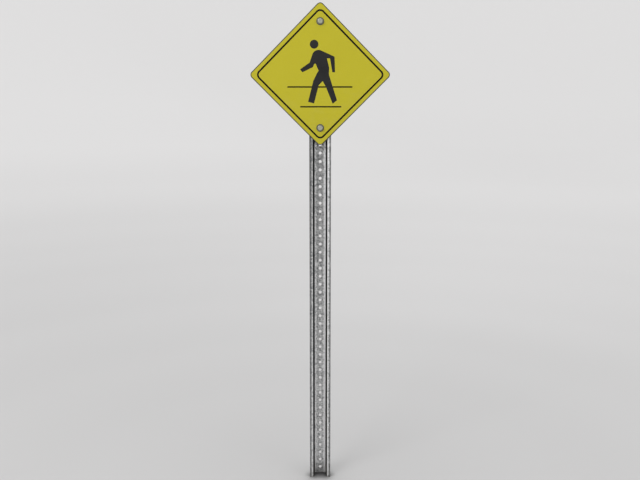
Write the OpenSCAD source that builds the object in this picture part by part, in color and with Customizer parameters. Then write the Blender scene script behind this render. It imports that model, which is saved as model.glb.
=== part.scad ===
// Signpost with a diamond warning sign.
//
// A light hat-section channel post, punched along the middle of its web, with
// its open side to the front. A square blank stands on its corner against the
// two flange faces, faced with retroreflective sheeting and a black legend
// (rounded border, walking figure, two crosswalk lines). Two hex bolts pass
// through the blank, across the hollow of the channel and through the web.
//
// Frame: millimetres, +Z up, the sign faces -Y, +X to the right of a viewer
// in front. Origin: middle of the web's thickness, at the bottom cut end.

/* [Post] */
// Number of punched holes up the post
hole_count = 56; // [30:1:96]
// Distance between neighbouring punched holes
hole_pitch = 25.4; // [25.4:0.1:30]
// Distance from the bottom cut end to the lowest hole
foot_margin = 20.8; // [14:0.1:40]
// Distance from the topmost hole to the top cut end
head_margin = 25.4; // [14:0.1:40]
// Diameter of the punched holes
hole_d = 9.525; // [8.6:0.025:10.5]
// Overall width across the two flanges
post_w = 64.6; // [62:0.1:76]
// Depth from the flange faces to the back of the web
post_depth = 31.75; // [26:0.25:40]
// Thickness of the steel
post_t = 2.5; // [1.9:0.1:3]
// Width of the open mouth, measured at the flange faces
mouth_w = 41; // [39:0.5:44]
// Width of the web's inside face, measured at the foot of the walls
floor_w = 34; // [32:0.5:36]
// Inside radius of the four bends
bend_r = 2; // [1.5:0.1:3]

/* [Sign] */
// Side of the square blank
sign_side = 295; // [260:1:400]
// Radius of the blank's corners
corner_r = 12; // [8:0.5:25]
// Thickness of the aluminium blank
blank_t = 2; // [1.6:0.1:3.2]
// Thickness of the retroreflective sheeting
sheeting_t = 0.3; // [0.2:0.05:0.5]
// Bare metal rim left around the sheeting
rim_w = 2.2; // [0.6:0.1:3]
// Distance between the two bolts, in hole pitches
bolt_pitches = 12; // [10:1:12]
// Height of the blank's centre above the middle of its two holes
sign_lift = 1.2; // [-3:0.1:3]

/* [Legend] */
// Thickness of the black film
film_t = 0.12; // [0.08:0.01:0.2]
// Distance from the blank's edge to the middle of the border line
border_inset = 15; // [12:0.2:24]
// Width of the border line
border_w = 5; // [3:0.5:8]
// Corner radius of the middle of the border line
border_r = 13; // [8:0.5:20]
// Size of the walking figure and its two lines, as a ratio
figure_scale = 1; // [0.8:0.05:1.2]
// Thickness of the two crosswalk lines
line_w = 4; // [3:0.25:6]

/* [Fasteners] */
// Nominal diameter of the bolts
bolt_d = 7.9375; // [7.5:0.0125:8]
// Length of the bolts under the head
bolt_len = 57.15; // [54:0.05:64]
// Length of the threaded end
thread_len = 28.575; // [24:0.025:32]
// Width across the flats of heads and nuts
hex_af = 12.7; // [12:0.1:13]
// Height of the bolt head
head_h = 5.56; // [5:0.01:6]
// Height of the nut
nut_h = 6.75; // [6:0.01:7.2]
// Outside diameter of the steel flat washers
washer_od = 17.5; // [16:0.1:19]
// Thickness of the steel flat washers
washer_t = 1.65; // [1.2:0.05:2]
// Outside diameter of the nylon washers
nylon_od = 22.2; // [20:0.1:25]
// Thickness of the nylon washers
nylon_t = 1.6; // [1.2:0.1:2.4]
// Outside diameter of the spring lock washers
lock_od = 14.8; // [13.5:0.1:15.5]
// Thickness of the spring lock washers, pressed flat
lock_t = 2; // [1.6:0.05:2.2]

/* [Hidden] */
round_fn = 96;

STEEL = [0.66, 0.67, 0.68];
ZINC = [0.74, 0.75, 0.74];
MILL = [0.78, 0.79, 0.80];
YELLOW = [0.72, 0.68, 0.20];
BLACK = [0.06, 0.06, 0.06];
NYLON = [0.12, 0.12, 0.11];

// heights: the upper bolt is in the topmost hole
upper_z = foot_margin + (hole_count - 1) * hole_pitch;
post_len = upper_z + head_margin;
bolt_spacing = bolt_pitches * hole_pitch;
lower_z = upper_z - bolt_spacing;
sign_z = (upper_z + lower_z) / 2 + sign_lift;

// planes across the assembly; the blank's back stands seat_gap clear of the flanges
seat_gap = 0.02;
web_back_y = post_t / 2;
flange_y = web_back_y - post_depth;
blank_y = flange_y - seat_gap - blank_t;
face_y = blank_y - sheeting_t;
nylon_y = face_y - nylon_t;
head_y = nylon_y - washer_t;
lock_y = web_back_y + washer_t;
nut_y = lock_y + lock_t;

// ---------------------------------------------------------------- post

wall_slope = atan2((mouth_w - floor_w) / 2, post_depth - post_t);
bend_angle = 90 - wall_slope;
bend_mid_r = bend_r + post_t / 2;
// places on the middle line of the sheet, where its straight runs would meet
mid_shift = post_t / 2 * tan(bend_angle / 2);
web_corner_x = floor_w / 2 + mid_shift;
flange_corner_x = mouth_w / 2 + mid_shift;
wall_run = (post_depth - post_t) / cos(wall_slope);
// length each bend takes from the runs on its two sides
setback = bend_mid_r * tan(bend_angle / 2);

// one straight run of the section; its children carry on from its end
module run(length) {
    translate([0, -post_t / 2]) square([length, post_t]);
    translate([length, 0]) children();
}

// a bend to the right of the run (side = 1) or to the left (side = -1);
// its children carry on from its end
module bend(angle, side) {
    reach = 3 * bend_mid_r;
    mirror([0, side > 0 ? 0 : 1]) translate([0, -bend_mid_r]) intersection() {
        difference() {
            circle(r = bend_mid_r + post_t / 2, $fn = round_fn);
            circle(r = bend_mid_r - post_t / 2, $fn = round_fn);
        }
        polygon([[0, 0], [0, reach], [reach, reach], reach * [sin(angle), cos(angle)]]);
    }
    translate([0, -side * bend_mid_r]) rotate(-side * angle)
        translate([0, side * bend_mid_r]) children();
}

// half of the hat section: web, wall, flange
module half_section() {
    run(web_corner_x - setback)
        bend(bend_angle, side = 1)
            run(wall_run - 2 * setback)
                bend(bend_angle, side = -1)
                    run(post_w / 2 - flange_corner_x - setback);
}

module post() {
    color(STEEL) difference() {
        linear_extrude(height = post_len) {
            half_section();
            mirror([1, 0]) half_section();
        }
        for (k = [0 : hole_count - 1])
            translate([0, 0, foot_margin + k * hole_pitch]) rotate([90, 0, 0])
                cylinder(d = hole_d, h = 4 * post_t, center = true, $fn = round_fn);
    }
}

// ---------------------------------------------------------------- sign

// stands a flat shape, drawn about the sign's centre, upright with its front
// face in the plane front_y
module layer(front_y, thickness) {
    translate([0, front_y + thickness, sign_z]) rotate([90, 0, 0])
        linear_extrude(height = thickness) children();
}

// square with rounded corners, standing on one of them
module diamond(side, r) {
    rotate(45) {
        square([side - 2 * r, side], center = true);
        square([side, side - 2 * r], center = true);
        for (sx = [-1, 1], sy = [-1, 1])
            translate([sx * (side / 2 - r), sy * (side / 2 - r)]) circle(r = r, $fn = round_fn);
    }
}

// diamond with the two bolt holes
module drilled_diamond(side, r) {
    difference() {
        diamond(side, r);
        for (s = [-1, 1])
            translate([0, s * bolt_spacing / 2 - sign_lift]) circle(d = hole_d, $fn = round_fn);
    }
}

module sign_blank() {
    color(MILL) layer(blank_y, blank_t) drilled_diamond(sign_side, corner_r);
}

module reflective_sheeting() {
    color(YELLOW) layer(face_y, sheeting_t)
        drilled_diamond(sign_side - 2 * rim_w, corner_r - rim_w);
}

// ---------------------------------------------------------------- legend

// The figure and its lines are measured from the sign's centre, at scale 1.

// centre x, centre y, radius
head = [-17.6, 86.7, 12.5];

// corners x, y, rounding radius, clockwise from the front shoulder
body = [
    [-16.1, 77.4, 18.8],
    // rear arm: elbow, hand, crook
    [41.9, 51.5, 3.5], [43.4, 7.2, 0.6], [35.4, 7.2, 0.6], [28.7, 46.6, 1.2],
    // back, seat and rear leg
    [19.6, 46.9, 1.2], [26.2, 21, 25], [25.4, 1, 20],
    [49.4, -73.4, 1], [36.8, -83.4, 1], [16.2, -33.5, 30],
    // crotch and front leg
    [7.3, -18.2, 0.8], [-4.3, -30, 2.5], [-18, -82.4, 1], [-35.6, -77.9, 1],
    [-29.4, -54, 60], [-20.2, -17.6, 12], [-9, 5.2, 14],
    // waist and armpit
    [-4.4, 11.8, 1.2], [-13.6, 31.8, 1.2], [-17, 31.4, 1.2],
    // front arm: elbow, hand, crook
    [-21.4, 21.6, 5], [-51.8, 7.2, 0.6], [-58.8, 15.4, 0.6], [-30.8, 34.7, 2.5]
];

// centre x, centre y, length
upper_line = [-0.8, -34.9, 190.4];
lower_line = [1.8, -92.1, 120.6];

// largest step along a rounded corner, in degrees
arc_step = 6;

function flat(v) = [v.x, v.y];
function unit(v) = v / norm(v);

// points of a closed outline whose corners [x, y, radius] are rounded,
// whichever way they turn
function rounded_outline(corners) = [
    for (i = [0 : len(corners) - 1])
        let (
            count = len(corners),
            corner = flat(corners[i]),
            radius = corners[i].z,
            to_last = unit(flat(corners[(i + count - 1) % count]) - corner),
            to_next = unit(flat(corners[(i + 1) % count]) - corner),
            half_angle = acos(to_last * to_next) / 2,
            inward = unit(to_last + to_next),
            centre = corner + inward * radius / sin(half_angle),
            // direction from the arc's centre to the corner
            middle = atan2(-inward.y, -inward.x),
            side = cross(to_last, to_next) > 0 ? -1 : 1,
            half_turn = 90 - half_angle,
            steps = max(1, ceil(half_turn / arc_step))
        )
        for (k = [-steps : steps])
            let (angle = middle + side * half_turn * k / steps)
                centre + radius * [cos(angle), sin(angle)]
];

// film laid on the sheeting
module film() {
    color(BLACK) layer(face_y - film_t, film_t) children();
}

module body_2d() {
    scale(figure_scale) polygon(rounded_outline(body));
}

// level line; its thickness does not follow figure_scale
module line_2d(line) {
    translate(figure_scale * flat(line)) square([figure_scale * line.z, line_w], center = true);
}

module legend_border() {
    middle_side = sign_side - 2 * border_inset;
    film() difference() {
        diamond(middle_side + border_w, border_r + border_w / 2);
        diamond(middle_side - border_w, border_r - border_w / 2);
    }
}

module legend_head() {
    film() scale(figure_scale) translate(flat(head)) circle(r = head.z, $fn = round_fn);
}

module legend_body() {
    film() body_2d();
}

// cut away where the figure's legs cross it
module legend_line_upper() {
    film() difference() {
        line_2d(upper_line);
        body_2d();
    }
}

module legend_line_lower() {
    film() line_2d(lower_line);
}

// ---------------------------------------------------------------- fasteners

// bores of the washers
washer_id = 8.73;
nylon_id = 8.33;
lock_id = 8.15;
// broken edges of the washers
washer_edge = 0.3;
nylon_edge = 0.35;
lock_edge = 0.25;
// gap in the lock washers: width, slant and place around the ring
lock_gap_w = 1.1;
lock_gap_slant = 28;
lock_gap_turn = -35;
// radius of the turned end face of a hex, as a ratio of the radius to its flats
hex_face_ratio = 0.96;
// the turning profile stands this far outside the hex's corners
hex_clearance = 0.01;
// bolt: the thread is slightly thinner than the shank, and its tip tapers
thread_r = bolt_d / 2 - 0.04;
thread_runout = 0.5;
tip_len = 1;
tip_taper = 0.9;
// nut: bore, and a 45 degree countersink wider than the bore at each face
nut_bore_r = thread_r + 0.06;
countersink = 0.5;
countersink_depth = 0.75;
// overlap of the shank into the head, and overrun of the nut's bore
overlap = 1;

// turns a fastener drawn along +Z so that it runs from front to back
module across(y, z) {
    translate([0, y, z]) rotate([-90, 0, 0]) children();
}

// the same for a fastener drawn along +Z that runs from back to front
module across_forward(y, z) {
    across(y, z) mirror([0, 0, 1]) children();
}

// hexagonal prism with its corners turned off at the top or at both ends
module hex_body(height, both_ends) {
    flat_r = hex_af / 2;
    face_r = flat_r * hex_face_ratio;
    outer_r = flat_r / cos(30) + hex_clearance;
    drop = (outer_r - face_r) * tan(30);
    intersection() {
        rotate(30) cylinder(r = flat_r / cos(30), h = height, $fn = 6);
        rotate_extrude($fn = round_fn) polygon(concat(
            [[0, 0]],
            both_ends ? [[face_r, 0], [outer_r, drop]] : [[outer_r, 0]],
            [[outer_r, height - drop], [face_r, height], [0, height]]));
    }
}

// flat ring with a broken edge around its upper face
module ring(id, od, thickness, edge) {
    rotate_extrude($fn = round_fn) polygon([
        [id / 2, 0], [od / 2, 0], [od / 2, thickness - edge],
        [od / 2 - edge, thickness], [id / 2, thickness]]);
}

// bolt with the bearing face of its head in the plane head_y
module bolt(z, turn) {
    thread_start = bolt_len - thread_len;
    color(ZINC) across(head_y, z) rotate(turn) {
        mirror([0, 0, 1]) hex_body(head_h, both_ends = false);
        rotate_extrude($fn = round_fn) polygon([
            [0, -overlap], [bolt_d / 2, -overlap], [bolt_d / 2, thread_start],
            [thread_r, thread_start + thread_runout], [thread_r, bolt_len - tip_len],
            [thread_r - tip_taper, bolt_len], [0, bolt_len]]);
    }
}

module flat_washer() {
    color(ZINC) ring(washer_id, washer_od, washer_t, washer_edge);
}

module head_washer(z) {
    across_forward(nylon_y, z) flat_washer();
}

module nylon_washer(z) {
    color(NYLON) across_forward(face_y, z) ring(nylon_id, nylon_od, nylon_t, nylon_edge);
}

module back_washer(z) {
    across(web_back_y, z) flat_washer();
}

// split spring washer, pressed flat, with its slanting gap
module lock_washer(z, turn) {
    color(ZINC) across(lock_y, z) rotate(turn) difference() {
        ring(lock_id, lock_od, lock_t, lock_edge);
        rotate(lock_gap_turn) translate([(lock_od + lock_id) / 4, 0, lock_t / 2])
            rotate([lock_gap_slant, 0, 0])
                cube([lock_od / 2, lock_gap_w, 4 * lock_t], center = true);
    }
}

module nut(z, turn) {
    // the countersink's cone starts this far outside the nut's face
    lead = 0.5;
    color(ZINC) across(nut_y, z) rotate(turn) difference() {
        hex_body(nut_h, both_ends = true);
        translate([0, 0, -overlap])
            cylinder(r = nut_bore_r, h = nut_h + 2 * overlap, $fn = round_fn);
        for (end = [0, 1]) translate([0, 0, end * nut_h]) mirror([0, 0, end])
            rotate_extrude($fn = round_fn) polygon([
                [0, -lead], [nut_bore_r + countersink + lead, -lead],
                [nut_bore_r + countersink - countersink_depth, countersink_depth],
                [0, countersink_depth]]);
    }
}

module upper_bolt() { bolt(upper_z, turn = 8); }
module upper_head_washer() { head_washer(upper_z); }
module upper_nylon_washer() { nylon_washer(upper_z); }
module upper_back_washer() { back_washer(upper_z); }
module upper_lock_washer() { lock_washer(upper_z, turn = 0); }
module upper_nut() { nut(upper_z, turn = 21); }

module lower_bolt() { bolt(lower_z, turn = 23); }
module lower_head_washer() { head_washer(lower_z); }
module lower_nylon_washer() { nylon_washer(lower_z); }
module lower_back_washer() { back_washer(lower_z); }
module lower_lock_washer() { lock_washer(lower_z, turn = 70); }
module lower_nut() { nut(lower_z, turn = 47); }

post();
sign_blank();
reflective_sheeting();
legend_border();
legend_head();
legend_body();
legend_line_upper();
legend_line_lower();
upper_bolt();
upper_head_washer();
upper_nylon_washer();
upper_back_washer();
upper_lock_washer();
upper_nut();
lower_bolt();
lower_head_washer();
lower_nylon_washer();
lower_back_washer();
lower_lock_washer();
lower_nut();
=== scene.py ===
"""A signpost: a hat-section channel post with a diamond warning sign.

The post stands along Z with its hollow open to the front (-Y); +X is on the right
seen from there. The sign faces the front and hangs on two bolts that run along +Y,
with their heads in front and their nuts behind. Pieces are drawn in millimetres and
scaled to metres at the end. Planes and centres come from the frame's boxes.
"""

import math
from functools import cached_property

import bmesh
import bpy
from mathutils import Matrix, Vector
from mathutils.geometry import delaunay_2d_cdt


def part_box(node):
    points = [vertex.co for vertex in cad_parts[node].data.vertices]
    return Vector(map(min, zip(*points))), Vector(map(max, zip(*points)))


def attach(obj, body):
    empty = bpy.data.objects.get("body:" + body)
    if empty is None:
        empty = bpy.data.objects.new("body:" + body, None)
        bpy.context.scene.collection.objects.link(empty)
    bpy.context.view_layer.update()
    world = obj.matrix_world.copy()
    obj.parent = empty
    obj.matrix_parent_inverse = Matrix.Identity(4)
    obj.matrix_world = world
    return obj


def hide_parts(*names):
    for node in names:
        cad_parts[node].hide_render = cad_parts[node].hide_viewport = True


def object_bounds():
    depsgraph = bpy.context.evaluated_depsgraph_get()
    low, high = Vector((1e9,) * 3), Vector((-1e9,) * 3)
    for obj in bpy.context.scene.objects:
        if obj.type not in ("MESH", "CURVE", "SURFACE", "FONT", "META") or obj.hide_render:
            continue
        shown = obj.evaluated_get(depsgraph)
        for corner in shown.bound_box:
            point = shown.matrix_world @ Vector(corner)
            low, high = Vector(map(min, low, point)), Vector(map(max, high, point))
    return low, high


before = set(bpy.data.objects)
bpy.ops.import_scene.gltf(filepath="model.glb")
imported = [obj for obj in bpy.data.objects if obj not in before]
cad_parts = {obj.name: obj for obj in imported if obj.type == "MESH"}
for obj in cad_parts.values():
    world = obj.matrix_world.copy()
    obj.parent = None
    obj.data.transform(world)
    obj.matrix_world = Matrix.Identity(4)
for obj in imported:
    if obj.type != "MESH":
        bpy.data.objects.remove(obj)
cad_lo, cad_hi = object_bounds()
MM = 0.001
TAU = 2 * math.pi


def box_mm(node):
    lo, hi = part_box(node)
    return Vector(lo) / MM, Vector(hi) / MM


# =====================================================================
# sizes (millimetres)
# =====================================================================

post_lo, post_hi = box_mm("post")
blank_lo, blank_hi = box_mm("sign_blank")
sheet_lo, sheet_hi = box_mm("reflective_sheeting")
film_lo, film_hi = box_mm("legend_border")

# sign: side and corner radius of the diamond, bare rim round the yellow sheeting
SIGN_Z = (blank_lo.z + blank_hi.z) / 2
SIDE = 295.0
CORNER = 12.0
RIM = 2.2

# post: sheet thickness, inner widths of the hollow at mouth and floor, inner bend radius
STEEL_T = 2.5
MOUTH = 41.0
FLOOR_W = 34.0
BEND_R = 2.0
WEB_FRONT = post_hi.y - STEEL_T
FLANGE_EDGE_R = 1.1
END_BEVEL = 0.3

# punched holes
HOLE_R = 4.7625
PITCH = 25.4
END_MARGIN = 8

# fasteners
THREAD_PITCH = 25.4 / 18
THREAD_LENGTH = 28.575
SHANK_R = 7.9375 / 2
THREAD_R = SHANK_R - 0.04
THREAD_DEPTH = 0.84
HEX_R = 12.7 / 2  # centre to flat
HEX_CORNER_R = 0.35


def bolt_height(which):
    lo, hi = box_mm(which + "_head_washer")
    return (lo.z + hi.z) / 2


BOLTS = {which: bolt_height(which) for which in ("upper", "lower")}


def hole_heights():
    """Heights of the post's holes, lowest first; the bolts sit in two of them."""
    above = 0
    while BOLTS["upper"] + (above + 1) * PITCH < post_hi.z - END_MARGIN:
        above += 1
    top = BOLTS["upper"] + above * PITCH
    heights = []
    while top - len(heights) * PITCH > post_lo.z + END_MARGIN:
        heights.append(top - len(heights) * PITCH)
    return heights[::-1]


HOLES = hole_heights()


# =====================================================================
# mesh helpers
# =====================================================================

class Shell:
    """Vertices and faces of a piece being drawn."""

    def __init__(self):
        self.verts = []
        self.faces = []

    def add(self, points):
        """Adds points and returns their indices."""
        first = len(self.verts)
        self.verts.extend(tuple(p) for p in points)
        return list(range(first, first + len(points)))

    def face(self, indices):
        self.faces.append(tuple(indices))

    def band(self, a, b):
        """Quads between two closed loops of the same length."""
        for i in range(len(a)):
            j = (i + 1) % len(a)
            self.face((a[i], b[i], b[j], a[j]))

    def bands(self, rings):
        for a, b in zip(rings, rings[1:]):
            self.band(a, b)

    def fan(self, ring, tip):
        for i in range(len(ring)):
            self.face((ring[i], ring[(i + 1) % len(ring)], tip))

    def join(self, other):
        first = len(self.verts)
        self.verts.extend(other.verts)
        self.faces.extend(tuple(i + first for i in face) for face in other.faces)


def finish_piece(name, shell, material, node, body="signpost", merge=2e-6, sharp=None):
    """Makes the object, merges and cleans it, shades it and ties it to the frame."""
    mesh = bpy.data.meshes.new(name)
    mesh.from_pydata([(x * MM, y * MM, z * MM) for x, y, z in shell.verts], [], shell.faces)
    bm = bmesh.new()
    bm.from_mesh(mesh)
    bmesh.ops.remove_doubles(bm, verts=bm.verts, dist=merge)
    loose = [v for v in bm.verts if not v.link_faces]
    bmesh.ops.delete(bm, geom=loose, context="VERTS")
    bmesh.ops.recalc_face_normals(bm, faces=bm.faces)
    bm.to_mesh(mesh)
    bm.free()
    mesh.shade_smooth()
    if sharp is not None:
        mesh.set_sharp_from_angle(angle=math.radians(sharp))
    ob = bpy.data.objects.new(name, mesh)
    bpy.context.scene.collection.objects.link(ob)
    mesh.materials.append(material)
    normals = ob.modifiers.new("even_normals", "WEIGHTED_NORMAL")
    normals.mode = "FACE_AREA"
    normals.weight = 60
    normals.keep_sharp = True
    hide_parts(node)
    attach(ob, body)


def arc_point(cx, cy, r, degrees):
    a = math.radians(degrees)
    return cx + r * math.cos(a), cy + r * math.sin(a)


def arc(cx, cy, r, start, end, n):
    """Points on an arc, angles in degrees."""
    return [arc_point(cx, cy, r, start + (end - start) * k / n) for k in range(n + 1)]


def circle(cx, cy, r, n, clockwise=False):
    turn = -TAU if clockwise else TAU
    return [(cx + r * math.cos(turn * k / n), cy + r * math.sin(turn * k / n)) for k in range(n)]


def diamond(side, r):
    """A square with rounded corners, standing on its corner about the sign's centre."""
    half = side / 2 - r
    cosine = math.cos(math.pi / 4)
    points = []
    for quarter in range(4):
        cx = half if quarter in (0, 3) else -half
        cy = half if quarter in (0, 1) else -half
        points += arc(cx, cy, r, 90 * quarter, 90 * quarter + 90, 24)
    return [((x - y) * cosine, SIGN_Z + (x + y) * cosine) for x, y in points]


def area(loop):
    """Signed area, positive when anticlockwise."""
    return 0.5 * sum(
        x0 * z1 - x1 * z0 for (x0, z0), (x1, z1) in zip(loop, loop[1:] + loop[:1])
    )


def inset(loop, distance):
    """Moves every point of a loop to the left of its direction of travel."""
    moved = []
    n = len(loop)
    for i in range(n):
        before, point, after = Vector(loop[i - 1]), Vector(loop[i]), Vector(loop[(i + 1) % n])
        way_in, way_out = (point - before).normalized(), (after - point).normalized()
        normal_in = Vector((-way_in.y, way_in.x))
        normal_out = Vector((-way_out.y, way_out.x))
        mitre = (normal_in + normal_out).normalized()
        q = point + mitre * (distance / max(0.35, mitre.dot(normal_in)))
        moved.append((q.x, q.y))
    return moved


def clear_of(loops, x, z, gap):
    """Inside the first loop, outside the others, and at least gap from all of them."""
    inside = []
    p = Vector((x, z))
    for loop in loops:
        hit = False
        for a, b in zip(loop, loop[1:] + loop[:1]):
            if (a[1] > z) != (b[1] > z) and x < (b[0] - a[0]) * (z - a[1]) / (b[1] - a[1]) + a[0]:
                hit = not hit
            if gap > 0:
                start, way = Vector(a), Vector(b) - Vector(a)
                t = max(0.0, min(1.0, (p - start).dot(way) / max(way.length_squared, 1e-12)))
                if (start + way * t - p).length < gap:
                    return False
        inside.append(hit)
    return inside[0] and not any(inside[1:])


def fill(shell, rings, y, flip, grid):
    """Triangles inside the first ring and outside the others, in the plane y.

    Each ring is (its vertices in the shell, its (x, z) points)."""
    loops = [points for _, points in rings]
    points, edges, owner = [], [], []
    for indices, loop in rings:
        first = len(points)
        points.extend(Vector(p) for p in loop)
        owner.extend(indices)
        edges.extend((first + i, first + (i + 1) % len(loop)) for i in range(len(loop)))
    if grid:
        # evenly spread inner points keep the triangles regular on a large plate
        xs, zs = [p[0] for p in loops[0]], [p[1] for p in loops[0]]
        x = min(xs) + grid / 2
        row = 0
        while x < max(xs):
            z = min(zs) + grid / 2 + (grid / 2 if row % 2 else 0)
            while z < max(zs):
                if clear_of(loops, x, z, grid * 0.45):
                    points.append(Vector((x, z)))
                    owner.append(shell.add([(x, y, z)])[0])
                z += grid
            x += grid * 0.866
            row += 1
    placed, _, faces, origin, _, _ = delaunay_2d_cdt(points, edges, [], 1, 1e-7)
    for face in faces:
        middle = sum((placed[i] for i in face), Vector((0.0, 0.0))) / len(face)
        if clear_of(loops, middle.x, middle.y, 0.0):
            indices = [owner[origin[i][0]] for i in face]
            shell.face(indices[::-1] if flip else indices)


def rounding(r, segs):
    """Quarter round of an edge: (inset, depth) from the end face to the side."""
    angles = [math.pi / 2 * k / segs for k in range(segs + 1)]
    return [(r * (1 - math.sin(a)), r * (1 - math.cos(a))) for a in angles]


def slab(loops, y0, y1, front, back, segs, grid=0):
    """A plate between the planes y0 (front) and y1, its edges rounded by front and back.

    The first loop is the outline, the others are holes."""
    # the outline runs anticlockwise and the holes clockwise, seen from the front
    loops = [l if (area(l) > 0) == (k == 0) else l[::-1] for k, l in enumerate(loops)]
    steps = [(d, y0 + depth) for d, depth in rounding(front, segs)]
    steps += [(d, y1 - depth) for d, depth in reversed(rounding(back, segs))]
    shell = Shell()
    front_rings, back_rings = [], []
    for loop in loops:
        rings = []
        for d, y in steps:
            points = inset(loop, d) if d > 1e-9 else loop
            rings.append((shell.add([(x, y, z) for x, z in points]), points))
        shell.bands([indices for indices, _ in rings])
        front_rings.append(rings[0])
        back_rings.append(rings[-1])
    fill(shell, front_rings, y0, False, grid)
    fill(shell, back_rings, y1, True, grid)
    return shell


def across(shell, y, z):
    """Turns a fastener drawn along +Z to run along +Y from the plane y, at height z."""
    shell.verts = [(a, y + c, z - b) for a, b, c in shell.verts]


def rounded_profile(corners, segs=None, lift=0.0):
    """A closed profile with rounded corners (x, z, radius), raised by lift.

    Each half corner takes segs steps, or steps of at most 4 degrees."""
    points = []
    for i, (x, z, r) in enumerate(corners):
        before, corner = Vector(corners[i - 1][:2]), Vector((x, z))
        after = Vector(corners[(i + 1) % len(corners)][:2])
        u, v = (before - corner).normalized(), (after - corner).normalized()
        half = math.acos(max(-1, min(1, u.dot(v)))) / 2
        bisector = (u + v).normalized()
        centre = corner + bisector * (r / math.sin(half))
        side = -1 if u.x * v.y - u.y * v.x > 0 else 1
        start = math.atan2(-bisector.y, -bisector.x)
        turn = math.pi / 2 - half
        steps = segs or max(2, math.ceil(math.degrees(turn) / 4))
        for k in range(-steps, steps + 1):
            a = start + side * turn * k / steps
            points.append((centre.x + r * math.cos(a), lift + centre.y + r * math.sin(a)))
    return points


# =====================================================================
# node helpers
# =====================================================================

class Value:
    """A node's output; arithmetic on it adds math nodes to its material."""

    def __init__(self, material, socket):
        self.material = material
        self.socket = socket

    def op(self, kind, other=0.0):
        return self.material.math(kind, self, other)

    def __add__(self, other):
        return self.op("ADD", other)

    def __radd__(self, other):
        return self.material.math("ADD", other, self)

    def __sub__(self, other):
        return self.op("SUBTRACT", other)

    def __rsub__(self, other):
        return self.material.math("SUBTRACT", other, self)

    def __mul__(self, other):
        return self.op("MULTIPLY", other)

    def __rmul__(self, other):
        return self.material.math("MULTIPLY", other, self)

    def __truediv__(self, other):
        return self.op("DIVIDE", other)

    def __pow__(self, other):
        return self.op("POWER", other)

    def __abs__(self):
        return self.op("ABSOLUTE")

    def swing(self, weight):
        """How far a 0..1 value is from its middle, times a weight."""
        return (self - 0.5) * weight


def larger(a, b):
    return a.op("MAXIMUM", b)


def smaller(a, b):
    return a.op("MINIMUM", b)


def length_of(a, b):
    return (a * a + b * b).op("SQRT")


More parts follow.
